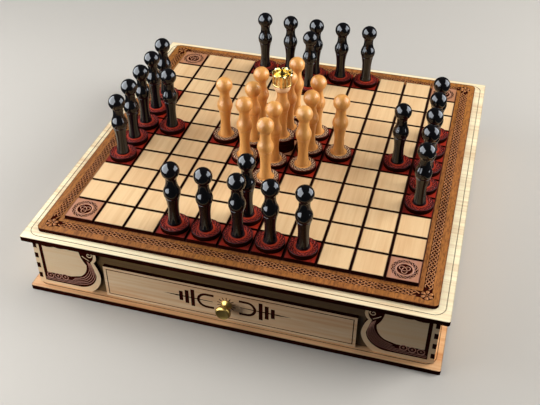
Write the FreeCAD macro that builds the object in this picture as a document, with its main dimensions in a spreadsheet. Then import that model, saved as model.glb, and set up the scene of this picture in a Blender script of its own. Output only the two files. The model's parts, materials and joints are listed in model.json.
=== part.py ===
import FreeCAD, Part
import os
import Sketcher

# Hnefatafl board: a shallow plywood box with a drawer in its front, a raised field of square
# tiles, and the men that stand on it, each a turned peg on a round base.
# The origin is the middle of the base plate's underside, +Z is up and the drawer faces -Y.

BOARD_SQUARES = 11

SIZES = {
    # Playing field
    "pitch": 25.0,
    "tile_gap": 2.0,
    "tile_ply": 3.0,
    "border_width": 16.5,
    "border_ply": 3.0,
    "border_corner": 4.5,
    "band_gap": 4.0,
    "band_width": 6.5,
    "rosette_radius": 5.0,
    "medallion_margin": 1.7,
    # Plates and walls
    "base_ply": 4.0,
    "top_ply": 4.0,
    "plate_margin": 9.5,
    "plate_overhang": 6.0,
    "plate_corner": 1.8,
    "wall_ply": 3.0,
    "box_height": 47.0,
    "finger_count": 9,
    # Engraved lines
    "engraving_depth": 0.35,
    "line_width": 0.7,
    "line_inset": 4.0,
    "line_corner": 9.0,
    # Front end panels, cut like a ship's prow
    "prow_width": 54.4,
    "prow_foot_back": 10.3,
    "prow_low_back": 2.6,
    "prow_low_rise": 8.6,
    "prow_belly_rise": 17.2,
    "prow_throat_back": 1.2,
    "prow_nape_back": 4.4,
    "prow_nape_drop": 15.0,
    "prow_head_back": 1.5,
    "prow_head_drop": 8.0,
    "prow_brow_back": 5.2,
    "prow_brow_drop": 1.6,
    "prow_crest_back": 11.6,
    # The sunk part of a prow lies inside its edge by the rim, which narrows towards the head
    "keel_rise": 3.2,
    "post_inset": 5.0,
    "post_width": 2.8,
    "rim_foot": 9.7,
    "rim_low": 4.2,
    "rim_belly": 3.6,
    "rim_throat": 3.7,
    "rim_nape": 2.6,
    "rim_head": 2.4,
    "rim_brow": 1.8,
    "rim_crest": 1.0,
    "rim_rise": 1.5,
    "rim_drop": 1.2,
    # The plain field in a prow: its top edge is scalloped, its other side follows the neck
    "field_bottom": 12.6,
    "field_top": 6.6,
    "field_top_climb": 1.4,
    "field_scallop": 0.8,
    "field_corner_back": 15.6,
    "field_side_back": 14.4,
    "field_side_drop": 11.6,
    "field_neck_back": 10.8,
    "field_neck_rise": 3.6,
    "field_belly_back": 12.0,
    "field_belly_rise": 21.6,
    "field_heel_back": 17.6,
    "field_heel_rise": 15.0,
    "field_tail_back": 26.0,
    # Drawer
    "drawer_gap": 3.1,
    "drawer_brow": 16.1,
    "drawer_floor_gap": 0.35,
    "drawer_lip_side": 4.0,
    "drawer_lip_top": 4.9,
    "drawer_back_gap": 8.5,
    "drawer_play": 0.5,
    "drawer_line_inset": 2.2,
    "guide_height": 20.0,
    "emblem_rise": 1.2,
    "stave_tip": 50.4,
    "stave_thickness": 1.4,
    "stave_start": 10.9,
    "stave_start_thickness": 0.55,
    "stave_bar_start": 25.2,
    "stave_bar_width": 3.0,
    "stave_bar_pitch": 4.7,
    "stave_bar_half": 8.7,
    "stave_bar_taper": 1.9,
    "fork_start": 9.9,
    "fork_radius": 7.5,
    "fork_thickness": 2.2,
    "fork_length": 13.4,
    "ray_count": 14,
    "ray_start": 4.7,
    "ray_length": 2.6,
    "ray_width": 0.7,
    # Knob and its screw
    "knob_length": 10.6,
    "knob_flange_radius": 4.4,
    "knob_flange_rim": 0.8,
    "knob_flange_ply": 1.6,
    "knob_flange_slope": 0.9,
    "knob_waist_radius": 2.4,
    "knob_waist_start": 2.7,
    "knob_throat_radius": 2.55,
    "knob_throat_back": 1.6,
    "knob_head_radius": 6.0,
    "knob_head_back_radius": 4.3,
    "knob_head_depth": 4.6,
    "knob_face_radius": 4.9,
    "knob_dish": 0.7,
    "knob_dish_radius": 3.0,
    "knob_dish_flat": 1.2,
    "screw_radius": 1.5,
    "screw_play": 0.05,
    "screw_reach": 6.0,
    "screw_head_radius": 3.0,
    "screw_head_height": 1.8,
    # Men
    "disc_margin": 0.25,
    "disc_ply": 4.0,
    "disc_rim": 0.85,
    "disc_ring_width": 2.9,
    "foot_radius": 5.6,
    "waist_radius": 4.15,
    "waist_height": 12.0,
    "crease_height": 24.8,
    "crease_radius": 5.6,
    "crease_depth": 0.35,
    "crease_half": 0.35,
    "shoulder_radius": 6.6,
    "shoulder_rise": 4.6,
    "collarbone_radius": 5.6,
    "collarbone_rise": 3.6,
    "neck_radius": 4.2,
    "neck_rise": 5.4,
    "chin_radius": 4.6,
    "ball_radius": 6.9,
    "ball_rise": 9.8,
    # King
    "plinth_height": 8.0,
    "king_swell_drop": 0.8,
    "crown_seat_rise": 1.4,
    "crown_seat_inset": 1.1,
    "crown_bead": 1.1,
    "crown_bead_step": 0.25,
    "crown_floor_step": 0.85,
    "crown_overhang": 2.2,
    "crown_bowl_height": 4.2,
    "crown_bowl_rise": 1.9,
    "crown_bowl_inset": 0.7,
    "crown_height": 10.6,
    "crown_waist": 0.2,
    "crown_flare": 0.9,
    "crown_wall": 0.9,
    "crown_points": 8,
    "crown_notch_radius": 1.9,
    "crown_notch_rise": 0.7,
}

doc = FreeCAD.newDocument("hnefatafl_board")
sheet = doc.addObject("Spreadsheet::Sheet", "dims")
for row, (alias, size) in enumerate(SIZES.items(), start=1):
    sheet.set(f"A{row}", alias)
    sheet.set(f"B{row}", str(size))
    sheet.setAlias(f"B{row}", alias)
doc.recompute()


def measure(expression):
    """The value of an expression on the sheet, in millimetres or as a plain number."""
    result = sheet.evalExpression(str(expression))
    return float(getattr(result, "Value", result))


# Levels, each the height of a face above the underside
BASE_TOP = "dims.base_ply"
WALL_TOP = f"({BASE_TOP} + dims.box_height)"
BOARD_TOP = f"({WALL_TOP} + dims.top_ply)"
BORDER_TOP = f"({BOARD_TOP} + dims.border_ply)"
TILE_TOP = f"({BORDER_TOP} + dims.tile_ply)"
DISC_TOP = f"({TILE_TOP} + dims.disc_ply)"

# Half widths, measured from the middle of the board
FIELD_HALF = f"(({BOARD_SQUARES} * dims.pitch - dims.tile_gap) / 2)"
BORDER_HALF = f"({FIELD_HALF} + dims.border_width)"
PLATE_HALF = f"({BORDER_HALF} + dims.plate_margin)"
BOX_HALF = f"({PLATE_HALF} - dims.plate_overhang)"
WALL_INSIDE = f"({BOX_HALF} - dims.wall_ply)"
BAND_INNER = f"({FIELD_HALF} + dims.band_gap)"
BAND_OUTER = f"({BAND_INNER} + dims.band_width)"
BAND_MIDDLE = f"({BAND_INNER} + dims.band_width / 2)"
PROW_EDGE = f"({BOX_HALF} - dims.prow_width)"

# Drawer: the front covers the opening in the front wall and stops against it
FRONT_HALF = f"({PROW_EDGE} - dims.drawer_gap)"
FRONT_BOTTOM = f"({BASE_TOP} + dims.drawer_floor_gap)"
FRONT_TOP = f"({WALL_TOP} - dims.drawer_brow)"
FRONT_BACK = f"{WALL_INSIDE}"
FRONT_FACE = f"({FRONT_BACK} + dims.wall_ply)"
DRAWER_HALF = f"({FRONT_HALF} - dims.drawer_lip_side)"
DRAWER_TOP = f"({FRONT_TOP} - dims.drawer_lip_top)"
DRAWER_FLOOR = f"({BASE_TOP} + dims.wall_ply)"
DRAWER_REAR = f"({WALL_INSIDE} - dims.drawer_back_gap)"
OPENING_HALF = f"({DRAWER_HALF} + dims.drawer_play)"
OPENING_TOP = f"({DRAWER_TOP} + dims.drawer_play)"
EMBLEM_HEIGHT = f"(({FRONT_BOTTOM} + {FRONT_TOP}) / 2 + dims.emblem_rise)"

# Round bases and medallions follow the tile they sit on
TILE_HALF = "((dims.pitch - dims.tile_gap) / 2)"
MEDALLION_RADIUS = f"({TILE_HALF} - dims.medallion_margin)"
DISC_RADIUS = f"({TILE_HALF} - dims.disc_margin)"
RING_OUTER = f"({DISC_RADIUS} - dims.disc_rim)"
RING_INNER = f"({RING_OUTER} - dims.disc_ring_width)"

# Heights on a peg, each above its foot
SHOULDER_HEIGHT = "(dims.crease_height + dims.shoulder_rise)"
COLLARBONE_HEIGHT = f"({SHOULDER_HEIGHT} + dims.collarbone_rise)"
NECK_HEIGHT = f"({COLLARBONE_HEIGHT} + dims.neck_rise)"
BALL_HEIGHT = f"({NECK_HEIGHT} + dims.ball_rise)"
CHIN_HEIGHT = f"({BALL_HEIGHT} - sqrt(dims.ball_radius ^ 2 - dims.chin_radius ^ 2))"
CROWN_SEAT_HEIGHT = f"({BALL_HEIGHT} + dims.crown_seat_rise)"

# The crown stands on the cut-off ball
CROWN_SEAT_RADIUS = "(dims.ball_radius - dims.crown_seat_inset)"
CROWN_RADIUS = f"({CROWN_SEAT_RADIUS} + dims.crown_overhang)"

DIAGONAL = 0.7071068
SAME_POINT = 1e-6


# Squares are counted from the left and from the front

MIDDLE = BOARD_SQUARES // 2
KING_SQUARE = (MIDDLE, MIDDLE)


def turned_about(column, row):
    """The four squares that a square goes to in quarter turns about the throne."""
    across, along = column - MIDDLE, row - MIDDLE
    squares = []
    for _ in range(4):
        squares.append((MIDDLE + across, MIDDLE + along))
        across, along = -along, across
    return squares


def side_squares(starts):
    return [square for start in starts for square in turned_about(*start)]


ATTACKER_SQUARES = side_squares([(3, 0), (4, 0), (5, 0), (6, 0), (7, 0), (5, 1)])
DEFENDER_SQUARES = side_squares([(5, 3), (5, 4), (4, 4)])


# Sketch helpers

def new_body(name):
    body = doc.addObject("PartDesign::Body", name)
    body.Label = name
    return body


def add_sketch(body, name, plane, offset="0"):
    """A sketch on one of the body's own origin planes, moved along that plane's normal."""
    sketch = body.newObject("Sketcher::SketchObject", name)
    support = next(f for f in body.Origin.OriginFeatures if f.Role == plane)
    sketch.AttachmentSupport = [(support, "")]
    sketch.MapMode = "FlatFace"
    sketch.setExpression(".AttachmentOffset.Base.z", offset)
    return sketch


def bind(sketch, constraint, expression):
    index = sketch.addConstraint(constraint)
    sketch.setExpression(f"Constraints[{index}]", str(expression))


def place_point(sketch, curve, end, at):
    """Ties one point of a curve to its two coordinates."""
    across, up = at
    bind(sketch, Sketcher.Constraint("DistanceX", -1, 1, curve, end, measure(across)), across)
    bind(sketch, Sketcher.Constraint("DistanceY", -1, 1, curve, end, measure(up)), up)


def draw_outline(sketch, start, *steps):
    """A closed outline. A step is the end of a line, or a point on an arc and its end."""
    previous = start
    curves = []
    for step in steps:
        target = step[-1]
        points = [FreeCAD.Vector(measure(p[0]), measure(p[1]), 0) for p in (previous, *step)]
        if len(step) == 1:
            curve = sketch.addGeometry(Part.LineSegment(*points), False)
            curves.append((curve, 1, 2))
        else:
            curve = sketch.addGeometry(Part.Arc(*points), False)
            runs_back = sketch.getPoint(curve, 1).distanceToPoint(points[0]) > SAME_POINT
            curves.append((curve, 2, 1) if runs_back else (curve, 1, 2))
            via = sketch.addGeometry(Part.Point(points[1]), True)
            place_point(sketch, via, 1, step[0])
            sketch.addConstraint(Sketcher.Constraint("PointOnObject", via, 1, curve))
        previous = target
    for (curve, _, end), (following, begin, _) in zip(curves, curves[1:] + curves[:1]):
        sketch.addConstraint(Sketcher.Constraint("Coincident", curve, end, following, begin))
    for (curve, begin, _), corner in zip(curves, [start] + [step[-1] for step in steps[:-1]]):
        place_point(sketch, curve, begin, corner)


def polygon(sketch, corners):
    draw_outline(sketch, corners[0], *[(corner,) for corner in corners[1:] + corners[:1]])


def rectangle(sketch, left, bottom, right, top):
    polygon(sketch, [(left, bottom), (right, bottom), (right, top), (left, top)])


def rounded_square(sketch, half, radius):
    """A square about the origin with round corners."""
    flat = f"({half} - {radius})"
    bulge = f"({half} - {radius} * (1 - {DIAGONAL}))"
    draw_outline(
        sketch,
        (f"-{flat}", f"-{half}"),
        ((flat, f"-{half}"),),
        ((bulge, f"-{bulge}"), (half, f"-{flat}")),
        ((half, flat),),
        ((bulge, bulge), (flat, half)),
        ((f"-{flat}", half),),
        ((f"-{bulge}", bulge), (f"-{half}", flat)),
        ((f"-{half}", f"-{flat}"),),
        ((f"-{bulge}", f"-{bulge}"), (f"-{flat}", f"-{half}")),
    )


def circle(sketch, radius, across="0", up="0"):
    centre = FreeCAD.Vector(measure(across), measure(up), 0)
    curve = sketch.addGeometry(Part.Circle(centre, FreeCAD.Vector(0, 0, 1), measure(radius)), False)
    bind(sketch, Sketcher.Constraint("Radius", curve, measure(radius)), radius)
    place_point(sketch, curve, 3, (across, up))


# Feature helpers

def pad(body, sketch, length):
    feature = body.newObject("PartDesign::Pad", f"{body.Name}_pad")
    feature.Profile = sketch
    feature.setExpression("Length", length)
    doc.recompute()
    return feature


def pocket(body, sketch, depth):
    """Cuts against the sketch's normal. It has to take material away."""
    before = body.Shape.Volume
    feature = body.newObject("PartDesign::Pocket", f"{body.Name}_pocket")
    feature.Profile = sketch
    feature.setExpression("Length", depth)
    doc.recompute()
    if not body.Shape.Volume < before:
        raise RuntimeError(f"{feature.Name} takes nothing away")
    return feature


def revolve(body, sketch, axis="V_Axis"):
    feature = body.newObject("PartDesign::Revolution", f"{body.Name}_turning")
    feature.Profile = sketch
    feature.ReferenceAxis = (sketch, [axis])
    feature.Angle = 360
    doc.recompute()
    return feature


def plate(name, outline, plane, offset, thickness):
    """A flat piece: one outline padded along the plane's normal."""
    body = new_body(name)
    sketch = add_sketch(body, f"{name}_outline", plane, offset)
    outline(sketch)
    pad(body, sketch, thickness)
    return body


def box_between(name, low, high):
    """A square-edged piece between two corners, each given as three expressions."""
    box = doc.addObject("Part::Box", name)
    box.Label = name
    for side, axis, near, far in zip(("Length", "Width", "Height"), "xyz", low, high):
        box.setExpression(side, f"({far}) - ({near})")
        box.setExpression(f".Placement.Base.{axis}", near)
    return box


def group(name, members):
    """Like pieces that are one sub-part, kept as separate solids."""
    compound = doc.addObject("Part::Compound", name)
    compound.Label = name
    compound.Links = members
    return compound


def move_to(piece, across, along, up):
    for axis, place in zip("xyz", (across, along, up)):
        piece.setExpression(f".Placement.Base.{axis}", place)


def square_centre(index):
    """How far the middle of a square in this row or column is from the middle of the board."""
    return f"({index - MIDDLE} * dims.pitch)"


# Plates

def engrave_line(body, name, face_height, half):
    """A thin engraved line that runs round a plate at an even distance from its edge."""
    sketch = add_sketch(body, f"{name}_line", "XY_Plane", face_height)
    outside = f"({half} - dims.line_inset)"
    rounded_square(sketch, outside, "dims.line_corner")
    rounded_square(sketch, f"({outside} - dims.line_width)", "(dims.line_corner - dims.line_width)")
    pocket(body, sketch, "dims.engraving_depth")


def make_plate(name, bottom, thickness):
    def outline(sketch):
        rounded_square(sketch, PLATE_HALF, "dims.plate_corner")

    body = plate(name, outline, "XY_Plane", bottom, thickness)
    engrave_line(body, name, f"({bottom} + {thickness})", PLATE_HALF)
    return body


def make_border_panel():
    """The stained panel that carries the tiles, with a sunk band for the plait and its rosettes."""
    def outline(sketch):
        rounded_square(sketch, BORDER_HALF, "dims.border_corner")

    body = plate("border_panel", outline, "XY_Plane", BOARD_TOP, "dims.border_ply")
    band = add_sketch(body, "plait_band", "XY_Plane", BORDER_TOP)
    rectangle(band, f"-{BAND_OUTER}", f"-{BAND_OUTER}", BAND_OUTER, BAND_OUTER)
    rectangle(band, f"-{BAND_INNER}", f"-{BAND_INNER}", BAND_INNER, BAND_INNER)
    pocket(body, band, "dims.engraving_depth")
    rosettes = add_sketch(body, "rosettes", "XY_Plane", BORDER_TOP)
    for across in (f"-{BAND_MIDDLE}", BAND_MIDDLE):
        for along in (f"-{BAND_MIDDLE}", BAND_MIDDLE):
            circle(rosettes, "dims.rosette_radius", across, along)
    pocket(body, rosettes, "dims.engraving_depth")
    return body


# Tiles

def tile_kind(column, row):
    last = BOARD_SQUARES - 1
    if (column, row) in ((0, 0), (0, last), (last, 0), (last, last)):
        return "corner"
    if (column, row) == KING_SQUARE:
        return "throne"
    return "red" if (column, row) in ATTACKER_SQUARES + DEFENDER_SQUARES else "plain"


def plain_tile(column, row):
    across, along = square_centre(column), square_centre(row)
    return box_between(
        f"tile_{column}_{row}",
        (f"{across} - {TILE_HALF}", f"{along} - {TILE_HALF}", BORDER_TOP),
        (f"{across} + {TILE_HALF}", f"{along} + {TILE_HALF}", TILE_TOP),
    )


def emblem_tile(column, row):
    """A tile with a sunk round field for its medallion."""
    name = f"tile_{column}_{row}"
    body = plate(
        name,
        lambda sketch: rectangle(sketch, f"-{TILE_HALF}", f"-{TILE_HALF}", TILE_HALF, TILE_HALF),
        "XY_Plane",
        "0",
        "dims.tile_ply",
    )
    field = add_sketch(body, f"{name}_medallion", "XY_Plane", "dims.tile_ply")
    circle(field, MEDALLION_RADIUS)
    pocket(body, field, "dims.engraving_depth")
    move_to(body, square_centre(column), square_centre(row), BORDER_TOP)
    return body


def make_tiles():
    tiles = {"plain": [], "red": [], "corner": [], "throne": []}
    for column in range(BOARD_SQUARES):
        for row in range(BOARD_SQUARES):
            kind = tile_kind(column, row)
            maker = emblem_tile if kind in ("corner", "throne") else plain_tile
            tiles[kind].append(maker(column, row))
    throne = tiles["throne"][0]
    throne.Label = "throne_tile"
    return [
        group("plain_tiles", tiles["plain"]),
        group("red_tiles", tiles["red"]),
        group("corner_tiles", tiles["corner"]),
        throne,
    ]


# Walls with finger joints

def comb(inner, outer, first_is_tab):
    """Points up one jointed edge: tabs reach outer, notches stop at inner."""
    points = []
    for finger in range(int(measure("dims.finger_count"))):
        reach = outer if (finger % 2 == 0) == first_is_tab else inner
        for level in (finger, finger + 1):
            points.append((reach, f"{BASE_TOP} + {level} * dims.box_height / dims.finger_count"))
    return points


def jointed_outline(sketch, first_is_tab):
    """A wall seen square on, with a comb at each end."""
    right = comb(WALL_INSIDE, BOX_HALF, first_is_tab)
    left = comb(f"-{WALL_INSIDE}", f"-{BOX_HALF}", first_is_tab)
    polygon(sketch, right + left[::-1])


def make_side_panel(name, offset):
    return plate(
        name, lambda sketch: jointed_outline(sketch, False), "YZ_Plane", offset, "dims.wall_ply"
    )


def make_back_panel():
    return plate(
        "back_panel",
        lambda sketch: jointed_outline(sketch, True),
        "XZ_Plane",
        f"-{BOX_HALF}",
        "dims.wall_ply",
    )


class Prow:
    """Places on an end panel, measured from its prow edge, its base or its top."""

    throat = f"(({BASE_TOP} + dims.prow_belly_rise + {WALL_TOP} - dims.prow_nape_drop) / 2)"

    def __init__(self, side):
        self.side = side
        self.post = f"{side} * ({BOX_HALF} - dims.post_inset)"
        self.field_edge = f"{side} * ({BOX_HALF} - dims.post_inset - dims.post_width)"

    def across(self, back):
        return f"{self.side} * ({PROW_EDGE} + {back})"

    def rise(self, height):
        return f"{BASE_TOP} + {height}"

    def drop(self, depth):
        return f"{WALL_TOP} - {depth}"


def prow_outline(sketch, side):
    """The end panel's edge: a comb at the box's corner, and a prow towards the drawer."""
    prow = Prow(side)
    edge = comb(f"{side} * {WALL_INSIDE}", f"{side} * {BOX_HALF}", True)
    draw_outline(
        sketch,
        edge[0],
        *[(corner,) for corner in edge[1:]],
        ((prow.across("dims.prow_crest_back"), prow.drop("0")),),
        ((prow.across("dims.prow_brow_back"), prow.drop("dims.prow_brow_drop")),),
        (
            (prow.across("dims.prow_head_back"), prow.drop("dims.prow_head_drop")),
            (prow.across("dims.prow_nape_back"), prow.drop("dims.prow_nape_drop")),
        ),
        (
            (prow.across("dims.prow_throat_back"), prow.throat),
            (prow.across("0"), prow.rise("dims.prow_belly_rise")),
        ),
        (
            (prow.across("dims.prow_low_back"), prow.rise("dims.prow_low_rise")),
            (prow.across("dims.prow_foot_back"), prow.rise("0")),
        ),
        (edge[0],),
    )


def hull_outline(sketch, side):
    """The outer edge of the sunk part: post, keel and the inside of the rim."""
    prow = Prow(side)
    past_top = prow.drop("-dims.engraving_depth")
    draw_outline(
        sketch,
        (prow.post, prow.rise("dims.keel_rise")),
        ((prow.post, past_top),),
        ((prow.across("dims.prow_crest_back + dims.rim_crest"), past_top),),
        (
            (
                prow.across("dims.prow_brow_back + dims.rim_brow"),
                prow.drop("dims.prow_brow_drop + dims.rim_drop"),
            ),
        ),
        (
            (prow.across("dims.prow_head_back + dims.rim_head"), prow.drop("dims.prow_head_drop")),
            (prow.across("dims.prow_nape_back + dims.rim_nape"), prow.drop("dims.prow_nape_drop")),
        ),
        (
            (prow.across("dims.prow_throat_back + dims.rim_throat"), prow.throat),
            (prow.across("dims.rim_belly"), prow.rise("dims.prow_belly_rise + dims.rim_rise")),
        ),
        (
            (
                prow.across("dims.prow_low_back + dims.rim_low"),
                prow.rise("dims.prow_low_rise + dims.rim_rise"),
            ),
            (prow.across("dims.prow_foot_back + dims.rim_foot"), prow.rise("dims.keel_rise")),
        ),
        ((prow.post, prow.rise("dims.keel_rise")),),
    )


def field_outline(sketch, side):
    """The plain field that stays proud, with a scalloped top edge."""
    prow = Prow(side)
    corner = prow.across("dims.field_corner_back")
    scallops = []
    for share in (0, 1, 2):
        ends = []
        for at, sag in ((share + 0.5, "dims.field_scallop"), (share + 1, "0")):
            reach = f"{prow.field_edge} + {at} / 3 * ({corner} - {prow.field_edge})"
            fall = prow.drop(f"dims.field_top + {at} / 3 * dims.field_top_climb - {sag}")
            ends.append((reach, fall))
        scallops.append(tuple(ends))
    draw_outline(
        sketch,
        (prow.field_edge, prow.rise("dims.field_bottom")),
        ((prow.field_edge, prow.drop("dims.field_top")),),
        *scallops,
        (
            (prow.across("dims.field_side_back"), prow.drop("dims.field_side_drop")),
            (prow.across("dims.field_neck_back"), f"{prow.throat} + dims.field_neck_rise"),
        ),
        (
            (prow.across("dims.field_belly_back"), prow.rise("dims.field_belly_rise")),
            (prow.across("dims.field_heel_back"), prow.rise("dims.field_heel_rise")),
        ),
        ((prow.across("dims.field_tail_back"), prow.rise("dims.field_bottom")),),
        ((prow.field_edge, prow.rise("dims.field_bottom")),),
    )


def make_prow_panel(name, side):
    body = plate(name, lambda sketch: prow_outline(sketch, side), "XZ_Plane", WALL_INSIDE, "dims.wall_ply")
    engraving = add_sketch(body, f"{name}_engraving", "XZ_Plane", BOX_HALF)
    hull_outline(engraving, side)
    field_outline(engraving, side)
    pocket(body, engraving, "dims.engraving_depth")
    return body


def make_front_wall():
    """The wall behind the end panels. The drawer passes through its opening."""
    def outline(sketch):
        polygon(
            sketch,
            [
                (f"-{WALL_INSIDE}", BASE_TOP),
                (f"-{OPENING_HALF}", BASE_TOP),
                (f"-{OPENING_HALF}", OPENING_TOP),
                (OPENING_HALF, OPENING_TOP),
                (OPENING_HALF, BASE_TOP),
                (WALL_INSIDE, BASE_TOP),
                (WALL_INSIDE, WALL_TOP),
                (f"-{WALL_INSIDE}", WALL_TOP),
            ],
        )

    return plate("front_wall", outline, "XZ_Plane", f"({WALL_INSIDE} - dims.wall_ply)", "dims.wall_ply")


def make_drawer_guides():
    guides = []
    for name, near, far in (
        ("left_guide", f"-({OPENING_HALF} + dims.wall_ply)", f"-{OPENING_HALF}"),
        ("right_guide", OPENING_HALF, f"{OPENING_HALF} + dims.wall_ply"),
    ):
        low = (near, f"-({WALL_INSIDE} - dims.wall_ply)", BASE_TOP)
        high = (far, WALL_INSIDE, f"{BASE_TOP} + dims.guide_height")
        guides.append(box_between(name, low, high))
    return group("drawer_guides", guides)


# Drawer

def stave_half(sketch_for, side):
    """One side of the engraved ornament: a pointed shaft, three bars that shrink outwards, and a fork."""
    shaft = sketch_for("shaft")
    half = "(dims.stave_thickness / 2)"
    start_half = "(dims.stave_start_thickness / 2)"
    start = f"{side} * dims.stave_start"
    broad = f"{side} * (dims.stave_bar_start + 3 * dims.stave_bar_pitch)"
    polygon(
        shaft,
        [
            (start, f"{EMBLEM_HEIGHT} - {start_half}"),
            (broad, f"{EMBLEM_HEIGHT} - {half}"),
            (f"{side} * dims.stave_tip", EMBLEM_HEIGHT),
            (broad, f"{EMBLEM_HEIGHT} + {half}"),
            (start, f"{EMBLEM_HEIGHT} + {start_half}"),
        ],
    )
    bars = sketch_for("bars")
    for bar in range(3):
        near = f"{side} * (dims.stave_bar_start + {bar} * dims.stave_bar_pitch)"
        far = f"{side} * (dims.stave_bar_start + {bar} * dims.stave_bar_pitch + dims.stave_bar_width)"
        reach = f"(dims.stave_bar_half - {bar} * dims.stave_bar_taper)"
        rectangle(bars, near, f"{EMBLEM_HEIGHT} - {reach}", far, f"{EMBLEM_HEIGHT} + {reach}")
    fork = sketch_for("fork")
    outer = "dims.fork_radius"
    inner = "(dims.fork_radius - dims.fork_thickness)"
    bend = f"{side} * (dims.fork_start + dims.fork_length - dims.fork_radius)"
    tip = f"{side} * dims.fork_start"
    draw_outline(
        fork,
        (tip, f"{EMBLEM_HEIGHT} + {outer}"),
        ((bend, f"{EMBLEM_HEIGHT} + {outer}"),),
        ((f"{bend} + {side} * {outer}", EMBLEM_HEIGHT), (bend, f"{EMBLEM_HEIGHT} - {outer}")),
        ((tip, f"{EMBLEM_HEIGHT} - {outer}"),),
        ((tip, f"{EMBLEM_HEIGHT} - {inner}"),),
        ((bend, f"{EMBLEM_HEIGHT} - {inner}"),),
        ((f"{bend} + {side} * {inner}", EMBLEM_HEIGHT), (bend, f"{EMBLEM_HEIGHT} + {inner}")),
        ((tip, f"{EMBLEM_HEIGHT} + {inner}"),),
        ((tip, f"{EMBLEM_HEIGHT} + {outer}"),),
    )


def make_drawer_front():
    body = plate(
        "drawer_front",
        lambda sketch: rectangle(sketch, f"-{FRONT_HALF}", FRONT_BOTTOM, FRONT_HALF, FRONT_TOP),
        "XZ_Plane",
        FRONT_BACK,
        "dims.wall_ply",
    )
    line = add_sketch(body, "drawer_line", "XZ_Plane", FRONT_FACE)
    for inset in ("dims.drawer_line_inset", "(dims.drawer_line_inset + dims.line_width)"):
        across = f"({FRONT_HALF} - {inset})"
        rectangle(line, f"-{across}", f"{FRONT_BOTTOM} + {inset}", across, f"{FRONT_TOP} - {inset}")
    pocket(body, line, "dims.engraving_depth")
    for side in (-1, 1):
        sketches = {}

        def sketch_for(part, side=side, sketches=sketches):
            sketches[part] = add_sketch(body, f"stave_{part}_{side + 1}", "XZ_Plane", FRONT_FACE)
            return sketches[part]

        stave_half(sketch_for, side)
        for sketch in sketches.values():
            pocket(body, sketch, "dims.engraving_depth")
    rays = add_sketch(body, "knob_rays", "XZ_Plane", FRONT_FACE)
    count = int(measure("dims.ray_count"))
    for ray in range(count):
        turn = f"{360 * (ray + 0.5) / count} deg"
        out = (f"cos({turn})", f"sin({turn})")
        corners = []
        for reach, sway in ((0, -1), (1, -1), (1, 1), (0, 1)):
            along = f"(dims.ray_start + {reach} * dims.ray_length)"
            aside = f"({sway} * dims.ray_width / 2)"
            corners.append(
                (
                    f"{along} * {out[0]} - {aside} * {out[1]}",
                    f"{EMBLEM_HEIGHT} + {along} * {out[1]} + {aside} * {out[0]}",
                )
            )
        polygon(rays, corners)
    pocket(body, rays, "dims.engraving_depth")
    hole = add_sketch(body, "screw_hole", "XZ_Plane", FRONT_FACE)
    circle(hole, "dims.screw_radius + dims.screw_play", "0", EMBLEM_HEIGHT)
    pocket(body, hole, "dims.wall_ply")
    return body


def make_drawer_tray():
    inside = f"({DRAWER_HALF} - dims.wall_ply)"
    rear = f"({DRAWER_REAR} - dims.wall_ply)"
    front = f"-{FRONT_BACK}"
    floor = box_between(
        "drawer_bottom", (f"-{inside}", front, BASE_TOP), (inside, rear, DRAWER_FLOOR)
    )
    sides = [
        box_between(name, (near, front, BASE_TOP), (far, rear, DRAWER_TOP))
        for name, near, far in (
            ("drawer_side_left", f"-{DRAWER_HALF}", f"-{inside}"),
            ("drawer_side_right", inside, DRAWER_HALF),
        )
    ]
    back = box_between(
        "drawer_back", (f"-{DRAWER_HALF}", rear, BASE_TOP), (DRAWER_HALF, DRAWER_REAR, DRAWER_TOP)
    )
    return [floor, group("drawer_sides", sides), back]


def stand_on_front(body):
    """Turns a piece made about +Z to point out of the drawer front, at the ornament's height."""
    body.Placement.Rotation = FreeCAD.Rotation(FreeCAD.Vector(1, 0, 0), 90)
    move_to(body, "0", f"-{FRONT_FACE}", EMBLEM_HEIGHT)


def make_knob():
    body = new_body("drawer_knob")
    sketch = add_sketch(body, "knob_profile", "XZ_Plane")
    bore = "(dims.screw_radius + dims.screw_play)"
    depth = "dims.screw_reach"
    head_start = "(dims.knob_length - dims.knob_head_depth)"
    dish_floor = "(dims.knob_length - dims.knob_dish)"
    draw_outline(
        sketch,
        (bore, "0"),
        (("dims.knob_flange_radius", "0"),),
        (("dims.knob_flange_radius", "dims.knob_flange_rim"),),
        (
            ("dims.knob_flange_radius - dims.knob_flange_slope", "dims.knob_flange_ply"),
            ("dims.knob_waist_radius", "dims.knob_waist_start"),
        ),
        (
            ("dims.knob_throat_radius", f"{head_start} - dims.knob_throat_back"),
            ("dims.knob_head_back_radius", head_start),
        ),
        (
            ("dims.knob_head_radius", f"{head_start} + dims.knob_head_depth / 2"),
            ("dims.knob_face_radius", "dims.knob_length"),
        ),
        (
            ("dims.knob_dish_radius", f"{dish_floor} + dims.knob_dish / 5"),
            ("dims.knob_dish_flat", dish_floor),
        ),
        (("0", dish_floor),),
        (("0", depth),),
        ((bore, depth),),
        ((bore, "0"),),
    )
    revolve(body, sketch)
    stand_on_front(body)
    return body


def make_knob_screw():
    """The screw that holds the knob from inside the drawer."""
    body = new_body("knob_screw")
    sketch = add_sketch(body, "screw_profile", "XZ_Plane")
    back = "-dims.wall_ply"
    polygon(
        sketch,
        [
            ("0", f"{back} - dims.screw_head_height"),
            ("dims.screw_head_radius", f"{back} - dims.screw_head_height"),
            ("dims.screw_head_radius", back),
            ("dims.screw_radius", back),
            ("dims.screw_radius", "dims.screw_reach - dims.screw_play"),
            ("0", "dims.screw_reach - dims.screw_play"),
        ],
    )
    revolve(body, sketch)
    stand_on_front(body)
    return body


# Men

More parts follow.
